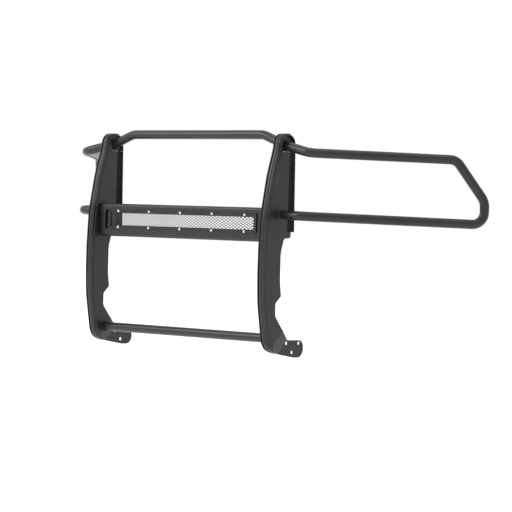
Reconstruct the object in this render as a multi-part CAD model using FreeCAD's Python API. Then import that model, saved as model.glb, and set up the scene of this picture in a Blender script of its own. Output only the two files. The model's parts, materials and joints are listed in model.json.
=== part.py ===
"""Front grille guard for a full-size pickup, in millimetres.

Two hollow sheet-metal uprights carry a raised top bar, a boxed crossbar with a
screwed mesh screen, a bottom bar and a bent tube hoop on each side. A two-ply
flange at the foot of each upright bolts to the vehicle's bracket.

Shapes are drawn with X across the guard, Y rearward from its foremost point
and Z up from the lowest edge of the flanges. export() then moves them so that
the origin is the middle of the guard's underside.
"""
import FreeCAD, Part
import math
import os

V = FreeCAD.Vector
X_AXIS = V(1, 0, 0)

# Driving dimensions
UPRIGHT_X = 437.0            # centre plane of each upright
TUBE_R = 16.7                # outside; every round tube is the same stock
TUBE_WALL = 2.1

CHANNEL_R = 16.5             # rounded nose of the front channel
CHANNEL_WALL = 3.0
CHANNEL_LEG = 4.0            # straight lap behind the rounded nose
PLATE = 2.5                  # side plates and flange plies
PLATE_OUT = CHANNEL_R - CHANNEL_WALL
PINCH_ANGLE = 45.0           # the plates close towards the flange along this fall
PINCH_START = 14.0
PINCH_END = 61.0

# Upright outline as (Y, Z, corner radius), from the flange round the front to the roof
NOSE_OUTLINE = [
    (96, 14, 0), (36, 22, 60), (5, 190, 500), (0, 290, 900), (0, 370, 900),
    (5, 500, 500), (30, 640, 400), (58, 735, 200), (66, 790, 38),
]
ROOF_REAR = [(150, 790, 36), (155, 726, 0)]
PLATE_REAR_Y = 118
REAR_OUTLINE = [
    (PLATE_REAR_Y, 790, 0), (PLATE_REAR_Y, 444, 0), (137, 444, 2), (137, 424, 6),
    (103, 420, 12), (89, 370, 80), (90, 270, 200), (98, 218, 4), (71, 192, 8),
    (71, 148, 30), (112, 98, 300), (152, 62, 4), (234, 62, 22), (237, 0, 30), (186, 0, 60),
]
FLANGE_HOLE_R = 6.75         # for 1/2 in bolts
FLANGE_HOLES = [(148, 51), (212.5, 51), (178, 18.5)]

MOUTH_FRONT_OUTER = 76.0     # the openings under the roof that the upper tubes pass
MOUTH_FRONT_INNER = 89.0
MOUTH_FLOOR = 722.0
MOUTH_RIM = 7.0              # metal left between the opening and the roof's outline
MOUTH_FLOOR_R, MOUTH_FRONT_R, MOUTH_REAR_R = 12.0, 26.0, 29.0
MOUTH_CROWN = 8.0            # half width of roof left whole over the opening
GUSSET = 5.0
GUSSET_FLOOR = 726.0

RUBBER_HALF = PLATE_OUT - PLATE - 0.1
RUBBER_TOP = (96, 153, 725)  # front Y, rear Y, Z
RUBBER_FOOT_Z = 444.0
RUBBER_LEAN = 7.5            # how far the strip moves rearward down its length
RUBBER_GROOVE = 2.0          # depth of the groove down each side
RUBBER_GROOVE_SPAN = (20.0, 12.0)        # its front and rear edges, ahead of the strip's rear
RUBBER_BEVEL = 3.0

TOP_BAR_Y = 110.0
TOP_BAR_Z = 786.0
TOP_BAR_BEND_X = 331.0
TOP_BAR_END_Z = 748.0
TOP_BAR_BEND_R = 90.0
BOTTOM_BAR_Y, BOTTOM_BAR_Z = 80.0, 68.0

HOOP_SWEEP = 49.0            # degrees the hoop turns rearward from across
HOOP_UPPER_ROOT = (107, 752.5)  # Y, Z where the upper run meets the upright's centre plane
HOOP_LOWER_ROOT = (84, 504)
HOOP_BEND = (568, 92)        # X, Y of the bend beside the upright
HOOP_BEND_R = 52.0
HOOP_REACH = 623.0           # bend to tip, along the sweep
HOOP_UPPER_Z = 722.0
HOOP_LOWER_Z = 501.0
HOOP_LOWER_BACK = 22.0       # the lower bend sits this far short of the upper one
HOOP_BETWEEN_Z = 600.0       # a level between the two runs
HOOP_SHOULDER = (517, 717, 45)       # reach, Z and corner radius down the hoop's tip
HOOP_TIP_TOP = (HOOP_REACH, 574, 60)
HOOP_TIP_FOOT = (HOOP_REACH, 493, 42)
COLLAR_R = 21.0
COLLAR_BORE = TUBE_R + 0.7
COLLAR_LENGTH = 6.0
COLLAR_CHAMFER = 1.5

BAR_FRONT = 32.0             # crossbar face behind the upright's foremost point
BAR_REAR = 88.0
BAR_LOW, BAR_HIGH = 406.0, 527.0
BAR_SHEET = 3.0
BAR_CORNER_R = 15.0
BAR_EDGE_R = 10.0
END_PLATE = 3.0
END_PLATE_LIP = 5.0
END_PLATE_FRONT = 26.0
END_PLATE_REAR = 84.0
END_PLATE_R = 12.0
POCKET_Z = 470.0             # middle of the window
POCKET_HALF = (387.5, 35.6)
POCKET_R = 9.0
POCKET_DEPTH = 12.0
POCKET_WALL = 2.5
WINDOW_HALF = (363, 22.4)    # clear of the pocket's floor

SCREEN = 1.5
SCREEN_SINK = 3.0            # screen's face behind the crossbar's
SCREEN_HALF = (377, 34.9)
SCREEN_R = 8.0
CELL_PITCH = (9.2, 9.7)      # column to column, and up each column
CELL_HALF = (6.7, 4.1)       # an opening's reach across and up
CELL_TIP = 0.5               # half height of its blunt side tips
COLUMNS_EACH_SIDE = 39
SCREW_PITCH = 160.2
SCREW_ROW = 29.6             # above and below the middle of the window
SCREW_LAND = 10.0            # screen left whole round a screw
SCREW_R = 2.4
SCREW_HOLE_R = 2.6
SCREW_HEAD_R = 4.7
SCREW_HEAD = 2.8
SCREW_HEAD_ROUND = 1.6
DRIVE_R, DRIVE_DEPTH = 1.6, 1.6          # the driver's recess in a screw's head
SCREW_LENGTH = 19.0
NUT_ACROSS_CORNERS_R = 4.6
NUT = 4.0

HOOP_WAY = V(math.cos(math.radians(HOOP_SWEEP)), math.sin(math.radians(HOOP_SWEEP)), 0)
DEPTH = HOOP_BEND[1] + HOOP_REACH * HOOP_WAY.y + TUBE_R
TO_ORIGIN = V(0, -DEPTH / 2, 0)
FAR = 1000.0                 # longer than any cut needs
OVER = 1.0                   # how far a cut runs past the face it opens


def rounded_edges(corners, closed):
    """Straight runs joined by tangent arcs; corners are (point, radius) pairs."""
    count = len(corners)
    spans = []
    for i, (point, radius) in enumerate(corners):
        at_end = not closed and i in (0, count - 1)
        if at_end or radius == 0:
            spans.append((point, None, point))
            continue
        before = (corners[i - 1][0] - point).normalize()
        after = (corners[(i + 1) % count][0] - point).normalize()
        half = before.getAngle(after) / 2
        reach = radius / math.tan(half)
        middle = (before + after).normalize() * (radius / math.sin(half) - radius)
        spans.append((point + before * reach, point + middle, point + after * reach))
    edges = []
    for i, (start, middle, end) in enumerate(spans):
        if middle is not None:
            edges.append(Part.Arc(start, middle, end).toShape())
        following = spans[(i + 1) % count][0]
        if closed or i < count - 1:
            edges.append(Part.LineSegment(end, following).toShape())
    return edges


def side_wire(outline, closed=True):
    """A wire in the plane X = 0 from (Y, Z, radius) corners."""
    corners = [(V(0, y, z), radius) for y, z, radius in outline]
    return Part.Wire(rounded_edges(corners, closed))


def side_solid(outline, x_low, x_high):
    """The outline's area, from x_low to x_high."""
    face = Part.Face(side_wire(outline))
    face.translate(V(x_low, 0, 0))
    return face.extrude(V(x_high - x_low, 0, 0))


def rounded_slab(half, radius, y_low, y_high, z_middle):
    """A slab across Y with rounded corners, half = (half width, half height)."""
    across, up = half
    corners = [(V(x, y_low, z_middle + z), radius)
               for x, z in ((-across, -up), (across, -up), (across, up), (-across, up))]
    face = Part.Face(Part.Wire(rounded_edges(corners, True)))
    return face.extrude(V(0, y_high - y_low, 0))


def cross_cylinder(radius, y, z, x_low, x_high):
    """A cylinder along X."""
    return Part.makeCylinder(radius, x_high - x_low, V(x_low, y, z), X_AXIS)


def beyond(x):
    """Everything on the centre's side of the plane at x, for trimming a tube."""
    return Part.makeBox(FAR, 2 * FAR, 2 * FAR, V(x - FAR, -FAR, -FAR))


def largest(shape):
    return max(shape.Solids, key=lambda solid: solid.Volume)


def tube(corners):
    """A hollow tube along straight runs and tangent bends."""
    path = Part.Wire(rounded_edges(corners, False))
    start = corners[0][0]
    way = corners[1][0] - start
    walls = []
    for radius in (TUBE_R, TUBE_R - TUBE_WALL):
        ring = Part.Wire(Part.makeCircle(radius, start, way))
        walls.append(path.makePipeShell([ring], True, False))
    return walls[0].cut(walls[1])


def pinch_prism(across):
    """A bent slab that follows the plates' close towards the flange.

    across lists (distance along the fall, X) points of its cross-section.
    """
    fall = math.radians(PINCH_ANGLE)
    along = V(0, math.cos(fall), -math.sin(fall))
    level = V(0, math.sin(fall), math.cos(fall))
    points = [along * d + X_AXIS * x - level * FAR for d, x in across]
    face = Part.Face(Part.makePolygon(points + points[:1]))
    return face.extrude(level * (2 * FAR))


def upright_channel():
    """The rounded front channel, up the nose and over the roof, open behind."""
    outline = NOSE_OUTLINE + ROOF_REAR
    path = side_wire(outline, closed=False)
    start = V(0, outline[0][0], outline[0][1])
    way = (V(0, outline[1][0], outline[1][1]) - start).normalize()
    inward = way.cross(X_AXIS)

    def at(x, depth):
        return start + X_AXIS * x + inward * depth

    out, inner = CHANNEL_R, CHANNEL_R - CHANNEL_WALL
    lap = CHANNEL_R + CHANNEL_LEG
    edges = [
        Part.makeLine(at(-out, lap), at(-out, out)),
        Part.Arc(at(-out, out), at(0, 0), at(out, out)).toShape(),
        Part.makeLine(at(out, out), at(out, lap)),
        Part.makeLine(at(out, lap), at(inner, lap)),
        Part.makeLine(at(inner, lap), at(inner, out)),
        Part.Arc(at(inner, out), at(0, CHANNEL_WALL), at(-inner, out)).toShape(),
        Part.makeLine(at(-inner, out), at(-inner, lap)),
        Part.makeLine(at(-inner, lap), at(-out, lap)),
    ]
    sweep = Part.BRepOffsetAPI.MakePipeShell(path)
    sweep.setBiNormalMode(X_AXIS)
    sweep.add(Part.Wire(edges))
    sweep.build()
    sweep.makeSolid()
    return sweep.shape()


def mouth(front, x_low, x_high):
    """The opening under the roof, which the upper tubes pass through."""
    roof = ROOF_REAR[0][1] - MOUTH_RIM
    rear_low = ROOF_REAR[1][0] - MOUTH_RIM
    rear_high = ROOF_REAR[0][0] - MOUTH_RIM
    outline = [(front, MOUTH_FLOOR, MOUTH_FLOOR_R), (rear_low, MOUTH_FLOOR, 0),
               (rear_high, roof, MOUTH_REAR_R), (front, roof, MOUTH_FRONT_R)]
    return side_solid(outline, x_low, x_high)


def trimmed_channel(channel):
    """The channel narrowed at its foot and opened on both sides for the upper tubes."""
    wide = CHANNEL_R + OVER
    narrow = PLATE + CHANNEL_WALL
    half = [(-FAR, wide), (PINCH_START, wide), (PINCH_END, narrow), (FAR, narrow)]
    envelope = pinch_prism(half + [(d, -x) for d, x in reversed(half)])
    shape = channel.common(envelope)
    shape = shape.cut(mouth(MOUTH_FRONT_OUTER, MOUTH_CROWN, wide))
    shape = shape.cut(mouth(MOUTH_FRONT_INNER, -wide, -MOUTH_CROWN))
    return largest(shape)


def side_plate(channel, mouth_front):
    """The plate on the +X side of an upright, with its ply of the flange."""
    slope = math.atan2(PLATE_OUT - PLATE, PINCH_END - PINCH_START)
    shift = PLATE * math.tan(slope / 2)
    face = [(-FAR, PLATE_OUT), (PINCH_START, PLATE_OUT), (PINCH_END, PLATE), (FAR, PLATE)]
    back = [(FAR, 0), (PINCH_END - shift, 0),
            (PINCH_START - shift, PLATE_OUT - PLATE), (-FAR, PLATE_OUT - PLATE)]
    profile = side_solid(NOSE_OUTLINE + REAR_OUTLINE, -PLATE_OUT, PLATE_OUT)
    shape = profile.common(pinch_prism(face + back)).cut(channel)
    shape = shape.cut(mouth(mouth_front, 0, CHANNEL_R))
    for y, z in FLANGE_HOLES:
        shape = shape.cut(cross_cylinder(FLANGE_HOLE_R, y, z, -OVER, PLATE_OUT))
    return largest(shape)


def top_gusset(channel):
    """The plate inside the roof that the upper tubes are welded to."""
    inside = side_solid(NOSE_OUTLINE + ROOF_REAR, -GUSSET / 2, GUSSET / 2)
    front = NOSE_OUTLINE[-2][0]
    rear = ROOF_REAR[0][0] - CHANNEL_WALL
    block = Part.makeBox(GUSSET, rear - front, FAR, V(-GUSSET / 2, front, GUSSET_FLOOR))
    return largest(inside.common(block).cut(channel))


def rubber_strip():
    """The buffer strip held between the side plates, with a groove down each side."""
    front, rear, top = RUBBER_TOP
    out = RUBBER_HALF
    cut = out - RUBBER_GROOVE
    groove_front, groove_rear = (rear - ahead for ahead in RUBBER_GROOVE_SPAN)
    lip = RUBBER_BEVEL
    right = [(out, front), (out, groove_front), (cut, groove_front + lip),
             (cut, groove_rear - lip), (out, groove_rear), (out, rear - lip), (out - lip, rear)]
    ring = right + [(-x, y) for x, y in reversed(right)]
    points = [V(x, y, top) for x, y in ring]
    face = Part.Face(Part.makePolygon(points + points[:1]))
    return face.extrude(V(0, RUBBER_LEAN, RUBBER_FOOT_Z - top))


def tube_hoop():
    """The right-hand wrap-round hoop, one bent tube from upright to upright."""
    bend = V(HOOP_BEND[0], HOOP_BEND[1], 0)

    def out_to(reach, z):
        return bend + HOOP_WAY * reach + V(0, 0, z)

    upper = V(UPRIGHT_X - CHANNEL_R, *HOOP_UPPER_ROOT)
    lower = V(UPRIGHT_X - CHANNEL_R, *HOOP_LOWER_ROOT)
    corners = [(upper, 0), (out_to(0, HOOP_UPPER_Z), HOOP_BEND_R)]
    for reach, z, radius in (HOOP_SHOULDER, HOOP_TIP_TOP, HOOP_TIP_FOOT):
        corners.append((out_to(reach, z), radius))
    corners += [(out_to(-HOOP_LOWER_BACK, HOOP_LOWER_Z), HOOP_BEND_R), (lower, 0)]
    hoop = tube(corners)
    gusset_face = beyond(UPRIGHT_X + GUSSET / 2)
    plate_face = beyond(UPRIGHT_X + PLATE_OUT)
    low_half = Part.makeBox(2 * FAR, 2 * FAR, FAR, V(-FAR, -FAR, HOOP_BETWEEN_Z - FAR))
    return largest(hoop.cut(gusset_face).cut(plate_face.common(low_half)))


def collar(y, z, x_low, x_high):
    """A ring round a tube's end, its rims chamfered."""
    ring = cross_cylinder(COLLAR_R, y, z, x_low, x_high)
    ring = ring.cut(cross_cylinder(COLLAR_BORE, y, z, x_low - OVER, x_high + OVER))
    rims = [edge for edge in ring.Edges
            if isinstance(edge.Curve, Part.Circle) and edge.Curve.Radius > COLLAR_BORE + OVER]
    return ring.makeChamfer(COLLAR_CHAMFER, rims)


def top_bar():
    end = UPRIGHT_X + CHANNEL_R
    fall = (TOP_BAR_Z - TOP_BAR_END_Z) / (UPRIGHT_X - TOP_BAR_BEND_X)
    low = TOP_BAR_Z - fall * (end - TOP_BAR_BEND_X)
    corners = [(V(-end, TOP_BAR_Y, low), 0),
               (V(-TOP_BAR_BEND_X, TOP_BAR_Y, TOP_BAR_Z), TOP_BAR_BEND_R),
               (V(TOP_BAR_BEND_X, TOP_BAR_Y, TOP_BAR_Z), TOP_BAR_BEND_R),
               (V(end, TOP_BAR_Y, low), 0)]
    inner = UPRIGHT_X - GUSSET / 2
    keep = Part.makeBox(2 * inner, FAR, FAR, V(-inner, 0, 0))
    return largest(tube(corners).common(keep))


def bottom_bar(plate):
    """The straight tube between the uprights, its ends cut to fit the inner side plates."""
    outer = cross_cylinder(TUBE_R, BOTTOM_BAR_Y, BOTTOM_BAR_Z, -UPRIGHT_X, UPRIGHT_X)
    bore = cross_cylinder(TUBE_R - TUBE_WALL, BOTTOM_BAR_Y, BOTTOM_BAR_Z, -FAR, FAR)
    return largest(outer.cut(bore).cut(plate).cut(mirrored(plate)))


def bottom_bar_collar(plate):
    low = UPRIGHT_X - PLATE_OUT - COLLAR_LENGTH
    return largest(collar(BOTTOM_BAR_Y, BOTTOM_BAR_Z, low, UPRIGHT_X - PLATE).cut(plate))


def crossbar_end_plate():
    """The plate on the inner face of the right upright that the crossbar is welded to."""
    low, high = BAR_LOW - END_PLATE_LIP, BAR_HIGH + END_PLATE_LIP
    outline = [(y, z, END_PLATE_R) for y, z in (
        (END_PLATE_FRONT, low), (END_PLATE_REAR, low),
        (END_PLATE_REAR, high), (END_PLATE_FRONT, high))]
    face = UPRIGHT_X - PLATE_OUT
    return side_solid(outline, face - END_PLATE, face)


def screw_places():
    return [(column * SCREW_PITCH, POCKET_Z + row * SCREW_ROW)
            for row in (-1, 1) for column in range(-2, 3)]


def screw_holes(y_low, y_high):
    holes = [Part.makeCylinder(SCREW_HOLE_R, y_high - y_low, V(x, y_low, z), V(0, 1, 0))
             for x, z in screw_places()]
    return Part.makeCompound(holes)


def front_edges(shape, y):
    """The edges that lie in the plane at y."""
    return [edge for edge in shape.Edges
            if math.isclose(edge.BoundBox.YMin, y, abs_tol=0.01)
            and math.isclose(edge.BoundBox.YMax, y, abs_tol=0.01)]


def crossbar_housing():
    """The crossbar: a pressed tray open behind, with a sunk pocket round the window."""
    end = UPRIGHT_X - PLATE_OUT - END_PLATE
    middle = (BAR_LOW + BAR_HIGH) / 2
    half_height = (BAR_HIGH - BAR_LOW) / 2
    skins = []
    for inset in (0, BAR_SHEET):
        front = BAR_FRONT + inset
        half = (end - inset, half_height - inset)
        block = rounded_slab(half, BAR_CORNER_R - inset, front, BAR_REAR + inset, middle)
        skins.append(block.makeFillet(BAR_EDGE_R - inset, front_edges(block, front)))
    shell = skins[0].cut(skins[1])
    floor = BAR_FRONT + POCKET_DEPTH
    back = floor + POCKET_WALL
    around = (POCKET_HALF[0] + POCKET_WALL, POCKET_HALF[1] + POCKET_WALL)
    tray = rounded_slab(around, POCKET_R + POCKET_WALL, BAR_FRONT, back, POCKET_Z)
    pocket = rounded_slab(POCKET_HALF, POCKET_R, BAR_FRONT - OVER, floor, POCKET_Z)
    window = rounded_slab(WINDOW_HALF, POCKET_R, floor - OVER, back + OVER, POCKET_Z)
    shell = shell.fuse(tray).cut(pocket).cut(window)
    shell = shell.cut(screw_holes(floor - OVER, back + OVER))
    return shell.removeSplitter()


def cell(x, z, y):
    """One opening of the screen: a diamond with blunt side tips."""
    across, up = CELL_HALF
    points = [(across, CELL_TIP), (0, up), (-across, CELL_TIP),
              (-across, -CELL_TIP), (0, -up), (across, -CELL_TIP)]
    ring = [V(x + dx, y, z + dz) for dx, dz in points]
    return Part.makePolygon(ring + ring[:1])


def mesh_screen():
    """Diamond mesh pressed into a shallow pan whose rim stands on the pocket's floor."""
    front = BAR_FRONT + SCREEN_SINK
    floor = BAR_FRONT + POCKET_DEPTH
    pan = rounded_slab(SCREEN_HALF, SCREEN_R, front, floor, POCKET_Z)
    inside = (SCREEN_HALF[0] - SCREEN, SCREEN_HALF[1] - SCREEN)
    hollow = rounded_slab(inside, SCREEN_R - SCREEN, front + SCREEN, floor + OVER, POCKET_Z)
    pan = pan.cut(hollow)
    across, up = CELL_PITCH
    cells = []
    for column in range(-COLUMNS_EACH_SIDE, COLUMNS_EACH_SIDE + 1):
        rows = (-2, -1, 0, 1, 2) if column % 2 == 0 else (-2.5, -1.5, -0.5, 0.5, 1.5, 2.5)
        for row in rows:
            x, z = column * across, POCKET_Z + row * up
            clear = all(math.hypot(x - sx, z - sz) > SCREW_LAND for sx, sz in screw_places())
            if clear:
                cells.append(Part.Face(cell(x, z, front - OVER)).extrude(V(0, SCREEN + 2 * OVER, 0)))
    pan = pan.cut(Part.makeCompound(cells))
    return pan.cut(screw_holes(front - OVER, front + SCREEN + OVER))


def mesh_screws():
    """Ten pan-head screws, heads on the face of the screen."""
    face = BAR_FRONT + SCREEN_SINK
    screws = []
    for x, z in screw_places():
        head = Part.makeCylinder(SCREW_HEAD_R, SCREW_HEAD, V(x, face, z), V(0, -1, 0))
        head = head.makeFillet(SCREW_HEAD_ROUND, [head.Edges[0]])
        shank = Part.makeCylinder(SCREW_R, SCREW_LENGTH, V(x, face - OVER, z), V(0, 1, 0))
        drive = Part.makeCylinder(DRIVE_R, DRIVE_DEPTH, V(x, face - SCREW_HEAD, z), V(0, 1, 0))
        screws.append(head.fuse(shank).cut(drive))
    return Part.makeCompound(screws)


def mesh_nuts():
    """Ten hexagon nuts behind the pocket floor."""
    back = BAR_FRONT + POCKET_DEPTH + POCKET_WALL
    nuts = []
    for x, z in screw_places():
        points = []
        for corner in range(6):
            turn = math.radians(60 * corner + 30)
            offset = V(math.cos(turn), 0, math.sin(turn)) * NUT_ACROSS_CORNERS_R
            points.append(V(x, back, z) + offset)
        body = Part.Face(Part.makePolygon(points + points[:1])).extrude(V(0, NUT, 0))
        bore = Part.makeCylinder(SCREW_R, NUT, V(x, back, z), V(0, 1, 0))
        nuts.append(body.cut(bore))
    return Part.makeCompound(nuts)


def mirrored(shape):
    return shape.mirror(V(0, 0, 0), X_AXIS)


def export(name, shape):
    placed = shape.copy()
    placed.translate(TO_ORIGIN)
    solids = placed.Solids
    sound = all(solid.isValid() and solid.isClosed() for solid in solids)
    print(f"{name}: {len(solids)} solid(s), {sum(s.Volume for s in solids):.0f} mm3, sound={sound}")
    (placed if len(solids) > 1 else solids[0]).exportStep(f"parts/{name}.step")


def export_pair(name, shape):
    """Write a right-hand piece and its mirror image."""
    export(f"right_{name}", shape)
    export(f"left_{name}", mirrored(shape))


def main():
    os.makedirs("parts", exist_ok=True)
    to_upright = V(UPRIGHT_X, 0, 0)
    whole_channel = upright_channel()
    inner_plate = mirrored(side_plate(whole_channel, MOUTH_FRONT_INNER))
    upright_pieces = {
        "front_channel": trimmed_channel(whole_channel),
        "outer_side_plate": side_plate(whole_channel, MOUTH_FRONT_OUTER),
        "inner_side_plate": inner_plate,
        "top_gusset": top_gusset(whole_channel),
        "rubber_strip": rubber_strip(),
    }
    for name, shape in upright_pieces.items():
        shape.translate(to_upright)
        export_pair(name, shape)
    export_pair("tube_hoop", tube_hoop())
    hoop_foot = UPRIGHT_X + PLATE_OUT
    export_pair("hoop_collar", collar(*HOOP_LOWER_ROOT, hoop_foot, hoop_foot + COLLAR_LENGTH))
    export_pair("bottom_bar_collar", bottom_bar_collar(inner_plate))
    export_pair("crossbar_end_plate", crossbar_end_plate())
    export("top_bar", top_bar())
    export("bottom_bar", bottom_bar(inner_plate))
    export("crossbar_housing", crossbar_housing())
    export("mesh_screen", mesh_screen())
    export("mesh_screws", mesh_screws())
    export("mesh_nuts", mesh_nuts())


main()
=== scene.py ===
import json
import math

import bpy
from mathutils import Matrix, Vector


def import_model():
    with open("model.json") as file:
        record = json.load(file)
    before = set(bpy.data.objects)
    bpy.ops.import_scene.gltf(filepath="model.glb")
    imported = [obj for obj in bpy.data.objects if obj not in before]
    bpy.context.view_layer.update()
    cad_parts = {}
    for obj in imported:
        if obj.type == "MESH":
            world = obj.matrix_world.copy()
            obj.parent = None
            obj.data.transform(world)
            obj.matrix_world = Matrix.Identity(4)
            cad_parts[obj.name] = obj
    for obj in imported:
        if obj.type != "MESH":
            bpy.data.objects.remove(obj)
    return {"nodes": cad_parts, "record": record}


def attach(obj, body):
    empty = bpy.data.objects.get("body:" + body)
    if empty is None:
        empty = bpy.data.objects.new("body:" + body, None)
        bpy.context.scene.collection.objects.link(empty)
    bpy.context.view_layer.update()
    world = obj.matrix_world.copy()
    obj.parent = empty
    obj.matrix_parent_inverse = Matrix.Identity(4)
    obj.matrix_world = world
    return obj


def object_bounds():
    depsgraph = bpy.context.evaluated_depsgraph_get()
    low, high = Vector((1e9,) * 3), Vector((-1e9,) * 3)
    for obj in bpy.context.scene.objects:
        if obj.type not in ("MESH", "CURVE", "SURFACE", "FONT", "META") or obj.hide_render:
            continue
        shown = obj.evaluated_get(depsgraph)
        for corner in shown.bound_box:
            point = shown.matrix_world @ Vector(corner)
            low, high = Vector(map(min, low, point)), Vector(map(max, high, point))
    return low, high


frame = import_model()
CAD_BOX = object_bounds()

NODES = frame["nodes"]
ONE_BODY = "root"            # nothing on the guard moves

# Camera: a long lens, slightly above level and rolled a little
CAMERA_TARGET = Vector((-0.0020, 0.1577, 0.3500))
CAMERA_AZIMUTH = math.radians(43.0)
CAMERA_ELEVATION = math.radians(0.629)
CAMERA_ROLL = math.radians(2.012)
CAMERA_DISTANCE = 9.4316
CAMERA_LENS = 177.5
CAMERA_SENSOR = 36.0
CAMERA_REACH = 200.0         # metres; takes in the floor's far edge

# The guard's own dimensions that the welds follow, in millimetres, drawn with
# X across, Y rearward from the foremost point and Z up from the flanges
DEPTH = 578.88
UPRIGHT_X = 437.0
PLATE = 2.5
PLATE_OUT = 13.5
PINCH_START, PINCH_END = 14.0, 61.0
OUTER_FACE = UPRIGHT_X + PLATE_OUT
INNER_FACE = UPRIGHT_X - PLATE_OUT
GUSSET_HALF = 2.5
COLLAR_LENGTH = 6.0
COLLAR_MIDDLE = (84.0, 504.0)            # (Y, Z), as are the other middles
HOOP_AT_COLLAR = (83.4, 503.9)
HOOP_AT_GUSSET = (105.1, 748.6)
TOP_BAR_AT_GUSSET = (110.0, 749.0)
BOTTOM_BAR_MIDDLE = (80.0, 68.0)
END_PLATE_Y = (26.0, 84.0)
END_PLATE_Z = (401.0, 532.0)
END_PLATE_R = 12.0

# Weld beads, in millimetres: a ring's radius is the tube's or collar's own
# and a little more, and a bead's size is the radius of its section
COLLAR_RING_R = 21.4
LAPPED_RING_R = 17.6
HOOP_RING_R = 17.2
TOP_BAR_RING_R = 17.4
COLLAR_STAND = 0.1           # how proud of its face the bead's middle stands
GUSSET_STAND = 0.5
END_PLATE_STAND = 0.2
WIDE_BEAD, NARROW_BEAD = 2.0, 1.5
BEAD_SIDES = 10
RIPPLE_PITCH = 2.8
RIPPLE_DEPTH = 0.16          # of the bead's size
WANDER_LENGTH = 11.0         # the bead's size drifts a little along its run
WANDER = 0.05

# Powder coat, in metres
# radius of the edge mask that lightens edges, partly as rubbed wear and partly as a painted
# highlight
EDGE_WEAR_AND_HIGHLIGHT_RADIUS = 0.0011
PEBBLE_GRAIN = 900.0         # pebbles to the metre, as the noise textures count them
PEBBLE_HEIGHT = 0.00004

# Studio
FLOOR_DROP = 0.45            # the guard hangs above the floor, as on its vehicle
FLOOR_SIZE = 120.0
FLOOR_GLOW = 0.28            # lifts the floor to the white of the sky
SKY_STRENGTH = 1.0
LIGHTS_AIM = (0, 0, 0.4)


# ---------------------------------------------------------------- materials

class Nodes:
    """Short calls for building a material's node tree."""

    def __init__(self, name):
        self.material = bpy.data.materials.new(name)
        self.material.use_nodes = True
        self.tree = self.material.node_tree
        self.shader = self.tree.nodes["Principled BSDF"]

    def add(self, kind, **settings):
        node = self.tree.nodes.new(kind)
        for key, value in settings.items():
            setattr(node, key, value)
        return node

    def link(self, source, target):
        self.tree.links.new(source, target)

    def place(self):
        return self.add("ShaderNodeTexCoord").outputs["Object"]

    def noise(self, vector, scale, detail=2.0, roughness=0.5):
        node = self.add("ShaderNodeTexNoise")
        node.inputs["Scale"].default_value = scale
        node.inputs["Detail"].default_value = detail
        node.inputs["Roughness"].default_value = roughness
        self.link(vector, node.inputs["Vector"])
        return node.outputs["Fac"]

    def cells(self, vector, scale):
        node = self.add("ShaderNodeTexVoronoi", feature="SMOOTH_F1")
        node.inputs["Scale"].default_value = scale
        self.link(vector, node.inputs["Vector"])
        return node.outputs["Distance"]

    def spread(self, value, low, high, out_low=0.0, out_high=1.0):
        node = self.add("ShaderNodeMapRange", clamp=True)
        for key, number in (("From Min", low), ("From Max", high),
                            ("To Min", out_low), ("To Max", out_high)):
            node.inputs[key].default_value = number
        self.link(value, node.inputs["Value"])
        return node.outputs["Result"]

    def maths(self, operation, a, b):
        node = self.add("ShaderNodeMath", operation=operation)
        for socket, value in zip(node.inputs, (a, b)):
            if isinstance(value, (int, float)):
                socket.default_value = value
            else:
                self.link(value, socket)
        return node.outputs["Value"]

    def blend(self, factor, low, high):
        """Colours low to high as factor goes from 0 to 1; either may be a socket."""
        node = self.add("ShaderNodeMix", data_type="RGBA")
        self.link(factor, node.inputs["Factor"])
        for key, value in (("A", low), ("B", high)):
            socket = next(s for s in node.inputs if s.name == key and s.type == "RGBA")
            if isinstance(value, tuple):
                socket.default_value = (*value, 1.0)
            else:
                self.link(value, socket)
        return next(s for s in node.outputs if s.type == "RGBA")

    def edges(self, radius):
        """About 1 on an edge sharper than the radius, and 0 on flat surfaces."""
        bevel = self.add("ShaderNodeBevel", samples=6)
        bevel.inputs["Radius"].default_value = radius
        normal = self.add("ShaderNodeNewGeometry").outputs["Normal"]
        dot = self.add("ShaderNodeVectorMath", operation="DOT_PRODUCT")
        self.link(bevel.outputs["Normal"], dot.inputs[0])
        self.link(normal, dot.inputs[1])
        return self.spread(dot.outputs["Value"], 0.99, 0.80)

    def bump(self, height, distance, strength=1.0):
        node = self.add("ShaderNodeBump")
        node.inputs["Distance"].default_value = distance
        node.inputs["Strength"].default_value = strength
        self.link(height, node.inputs["Height"])
        self.link(node.outputs["Normal"], self.shader.inputs["Normal"])

    def surface(self, key, value):
        self.shader.inputs[key].default_value = value

    def colour(self, socket):
        self.link(socket, self.shader.inputs["Base Color"])

    def roughness(self, socket):
        self.link(socket, self.shader.inputs["Roughness"])


def lighter(colour, times):
    return tuple(times * part for part in colour)


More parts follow.
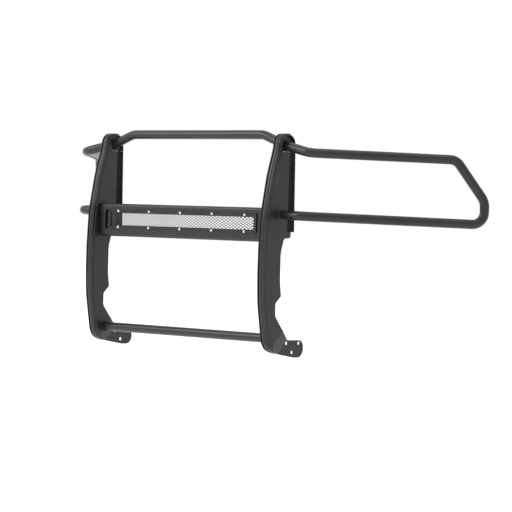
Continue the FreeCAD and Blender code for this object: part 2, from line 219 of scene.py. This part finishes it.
def powder_coat(name, dark, light, rough):
    """Textured black powder coat: fine pebble, faint mottling, and edges lightened partly as
    rubbed wear and partly as a painted highlight.
    """
    n = Nodes(name)
    place = n.place()
    mottle = n.noise(place, scale=9.0, detail=3.0)
    speck = n.noise(place, scale=420.0, detail=1.0)
    base = n.blend(n.spread(mottle, 0.35, 0.65), dark, light)
    flecked = n.blend(n.spread(speck, 0.62, 0.78, 0.0, 0.35), base, lighter(light, 2.2))
    # edges are lightened, partly as rubbed wear and partly as a painted highlight where edges
    # would catch the light
    wear_and_highlight_breakup = n.noise(place, scale=55.0)
    edge = n.maths("MULTIPLY", n.edges(EDGE_WEAR_AND_HIGHLIGHT_RADIUS), n.spread(wear_and_highlight_breakup, 0.35, 0.70, 0.25, 1.0))
    n.colour(n.blend(edge, flecked, lighter(light, 3.0)))
    smudge = n.noise(place, scale=22.0)
    n.roughness(n.spread(smudge, 0.30, 0.70, rough - 0.05, rough + 0.06))
    fine = n.noise(place, scale=0.6 * PEBBLE_GRAIN, detail=1.0)
    n.bump(n.maths("ADD", n.cells(place, PEBBLE_GRAIN), fine), PEBBLE_HEIGHT, strength=0.4)
    n.surface("Specular IOR Level", 0.36)
    return n.material


def moulded_rubber(name):
    """Matt black rubber with a fine grain and a little bloom."""
    n = Nodes(name)
    place = n.place()
    bloom = n.spread(n.noise(place, scale=30.0, detail=3.0), 0.40, 0.72)
    n.colour(n.blend(bloom, (0.003, 0.003, 0.003), (0.007, 0.007, 0.007)))
    n.roughness(n.spread(n.noise(place, scale=60.0), 0.3, 0.7, 0.60, 0.78))
    n.bump(n.noise(place, scale=1500.0), distance=0.0001, strength=0.5)
    n.surface("Specular IOR Level", 0.14)
    return n.material


def plated_steel(name, tone, rough):
    """Bright plated steel, slightly tarnished."""
    n = Nodes(name)
    place = n.place()
    stain = n.spread(n.noise(place, scale=260.0), 0.35, 0.70)
    n.colour(n.blend(stain, (tone, tone, tone * 1.01), (tone * 0.8, tone * 0.79, tone * 0.78)))
    n.roughness(n.spread(n.noise(place, scale=700.0), 0.3, 0.7, rough - 0.05, rough + 0.08))
    n.bump(n.noise(place, scale=2500.0, detail=1.0), distance=0.00003, strength=0.4)
    n.surface("Metallic", 1.0)
    return n.material


def coat_everything():
    """A material for each of the record's slots, put on the nodes that have the slot."""
    dark, light = (0.009, 0.009, 0.010), (0.014, 0.014, 0.015)
    tube_dark, tube_light = (0.010, 0.010, 0.011), (0.015, 0.015, 0.016)
    mesh_dark, mesh_light = (0.008, 0.008, 0.009), (0.012, 0.012, 0.013)
    coats = {
        "upright_coat": powder_coat("upright_powder_coat", dark, light, 0.36),
        "tube_coat": powder_coat("tube_powder_coat", tube_dark, tube_light, 0.32),
        "crossbar_coat": powder_coat("crossbar_powder_coat", dark, light, 0.34),
        "mesh_coat": powder_coat("mesh_powder_coat", mesh_dark, mesh_light, 0.40),
        "rubber": moulded_rubber("moulded_rubber"),
        "screw_steel": plated_steel("plated_screw_steel", 0.80, 0.30),
        "nut_steel": plated_steel("plated_nut_steel", 0.62, 0.38),
    }
    for part in frame["record"]["subparts"]:
        node = NODES[part["node"]]
        node.data.materials.clear()
        node.data.materials.append(coats[part["material_slot"]])
    return coats


# -------------------------------------------------------------------- welds

def circle(middle, radius, count=96):
    """(Y, Z) points round a circle."""
    y, z = middle
    turns = [2 * math.pi * i / count for i in range(count)]
    return [(y + radius * math.cos(turn), z + radius * math.sin(turn)) for turn in turns]


def ring(x, middle, radius):
    """Points round a tube where it meets a flat face at x."""
    return [(x, py, pz) for py, pz in circle(middle, radius)]


def rounded_frame(x, y_ends, z_ends, radius, corner=10, step=4.0):
    """Points round a rectangle with rounded corners, across X."""
    (y_low, y_high), (z_low, z_high) = y_ends, z_ends
    centres = ((y_high - radius, z_high - radius, 0), (y_low + radius, z_high - radius, 90),
               (y_low + radius, z_low + radius, 180), (y_high - radius, z_low + radius, 270))
    corners = []
    for cy, cz, start in centres:
        for i in range(corner + 1):
            turn = math.radians(start + 90 * i / corner)
            corners.append((x, cy + radius * math.cos(turn), cz + radius * math.sin(turn)))
    points = []
    for a, b in zip(corners, corners[1:] + corners[:1]):
        parts = max(1, int(math.dist(a, b) / step))
        points += [tuple(p + (q - p) * i / parts for p, q in zip(a, b)) for i in range(parts)]
    return points


def bead_mesh(name, path, size):
    """A closed round bead along the path, in metres, with the ripples of its run."""
    count = len(path)
    vertices, faces, travelled = [], [], 0.0
    for i, here in enumerate(path):
        after = path[(i + 1) % count]
        along = (after - path[i - 1]).normalized()
        across = along.cross(Vector((1, 0, 0))).normalized()
        up = across.cross(along)
        wave = abs(math.sin(math.pi * travelled / (RIPPLE_PITCH / 1000)))
        drift = 1 + WANDER * math.sin(travelled / (WANDER_LENGTH / 1000))
        radius = size * (1 - RIPPLE_DEPTH + RIPPLE_DEPTH * wave) * drift
        for k in range(BEAD_SIDES):
            turn = 2 * math.pi * k / BEAD_SIDES
            vertices.append(here + across * radius * math.cos(turn) + up * radius * math.sin(turn))
        travelled += (after - here).length
    for i in range(count):
        this_loop, next_loop = i * BEAD_SIDES, (i + 1) % count * BEAD_SIDES
        for k in range(BEAD_SIDES):
            beside = (k + 1) % BEAD_SIDES
            faces.append((this_loop + k, this_loop + beside, next_loop + beside, next_loop + k))
    mesh = bpy.data.meshes.new(name)
    mesh.from_pydata([tuple(v) for v in vertices], [], faces)
    mesh.validate()
    mesh.polygons.foreach_set("use_smooth", [True] * len(mesh.polygons))
    return mesh


def weld_bead(name, points, size, material, side):
    """A weld on the right half, or its mirror image on the left; in millimetres."""
    path = [Vector((side * x, y - DEPTH / 2, z)) / 1000 for x, y, z in points]
    mesh = bead_mesh(name, path, size / 1000)
    mesh.materials.append(material)
    bead = bpy.data.objects.new(name, mesh)
    bpy.context.scene.collection.objects.link(bead)
    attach(bead, ONE_BODY)


def inner_plate_x(y, z):
    """X of the inner side plate's face, which closes towards the flange."""
    fall = (y - z) * math.sqrt(0.5)
    closed = min(1.0, max(0.0, (fall - PINCH_START) / (PINCH_END - PINCH_START)))
    return INNER_FACE + (PLATE_OUT - PLATE) * closed


def weld_runs():
    """The right half's welds: name, points, bead size and material slot."""
    outside, inside = OUTER_FACE + COLLAR_STAND, INNER_FACE - COLLAR_STAND
    gusset = GUSSET_HALF + GUSSET_STAND
    hoop_collar = ring(outside, COLLAR_MIDDLE, COLLAR_RING_R)
    hoop_lower = ring(outside + COLLAR_LENGTH, HOOP_AT_COLLAR, LAPPED_RING_R)
    hoop_upper = ring(UPRIGHT_X + gusset, HOOP_AT_GUSSET, HOOP_RING_R)
    top_bar = ring(UPRIGHT_X - gusset, TOP_BAR_AT_GUSSET, TOP_BAR_RING_R)
    around_bar = circle(BOTTOM_BAR_MIDDLE, COLLAR_RING_R)
    bottom_collar = [(inner_plate_x(y, z), y, z) for y, z in around_bar]
    bottom_bar = ring(inside - COLLAR_LENGTH, BOTTOM_BAR_MIDDLE, LAPPED_RING_R)
    end_plate = rounded_frame(INNER_FACE - END_PLATE_STAND, END_PLATE_Y, END_PLATE_Z, END_PLATE_R)
    return (
        ("hoop_collar_weld", hoop_collar, WIDE_BEAD, "tube_coat"),
        ("hoop_lower_weld", hoop_lower, NARROW_BEAD, "tube_coat"),
        ("hoop_upper_weld", hoop_upper, WIDE_BEAD, "tube_coat"),
        ("top_bar_weld", top_bar, WIDE_BEAD, "tube_coat"),
        ("bottom_collar_weld", bottom_collar, WIDE_BEAD, "tube_coat"),
        ("bottom_bar_weld", bottom_bar, NARROW_BEAD, "tube_coat"),
        ("end_plate_weld", end_plate, NARROW_BEAD, "crossbar_coat"),
    )


def welds(coats):
    for word, side in (("right", 1), ("left", -1)):
        for name, points, size, slot in weld_runs():
            weld_bead(f"{word}_{name}", points, size, coats[slot], side)


# ------------------------------------------------------------------- studio

def floor():
    bpy.ops.mesh.primitive_plane_add(size=FLOOR_SIZE, location=(0, 0, CAD_BOX[0].z - FLOOR_DROP))
    plane = bpy.context.object
    plane.name = "studio_floor"
    n = Nodes("studio_floor_white")
    tone = n.spread(n.noise(n.place(), scale=0.4), 0.3, 0.7, 0.93, 0.96)
    n.colour(n.blend(tone, (0.9, 0.9, 0.9), (1.0, 1.0, 1.0)))
    n.surface("Roughness", 0.9)
    n.surface("Emission Color", (1, 1, 1, 1))
    n.surface("Emission Strength", FLOOR_GLOW)
    plane.data.materials.append(n.material)


def world():
    bpy.context.scene.view_settings.view_transform = "Standard"
    sky = bpy.data.worlds.new("studio")
    bpy.context.scene.world = sky
    sky.use_nodes = True
    back = sky.node_tree.nodes["Background"]
    back.inputs["Color"].default_value = (1, 1, 1, 1)
    back.inputs["Strength"].default_value = SKY_STRENGTH


def soft_light(name, place, size, watts):
    data = bpy.data.lights.new(name, "AREA")
    data.shape = "RECTANGLE"
    data.size, data.size_y = size
    data.energy = watts
    lamp = bpy.data.objects.new(name, data)
    lamp.location = place
    way = Vector(LIGHTS_AIM) - Vector(place)
    lamp.rotation_euler = way.to_track_quat("-Z", "Y").to_euler()
    bpy.context.scene.collection.objects.link(lamp)


def lights():
    soft_light("key", place=(-3.2, -4.2, 3.2), size=(3.4, 2.8), watts=150)
    soft_light("top", place=(0.5, -0.5, 4.0), size=(3.6, 3.6), watts=45)


def camera():
    data = bpy.data.cameras.new("camera")
    data.lens = CAMERA_LENS
    data.sensor_width = CAMERA_SENSOR
    data.clip_end = CAMERA_REACH
    cam = bpy.data.objects.new("camera", data)
    az, el, roll = CAMERA_AZIMUTH, CAMERA_ELEVATION, CAMERA_ROLL
    back = Vector((math.sin(az) * math.cos(el), -math.cos(az) * math.cos(el), math.sin(el)))
    right = Vector((math.cos(az), math.sin(az), 0))
    up = back.cross(right)
    tilted = right * math.cos(roll) + up * math.sin(roll)
    upright = back.cross(tilted)
    turn = Matrix((tilted, upright, back)).transposed()
    cam.matrix_world = Matrix.Translation(CAMERA_TARGET + back * CAMERA_DISTANCE) @ turn.to_4x4()
    bpy.context.scene.collection.objects.link(cam)
    bpy.context.scene.camera = cam


welds(coat_everything())
world()
floor()
lights()
camera()
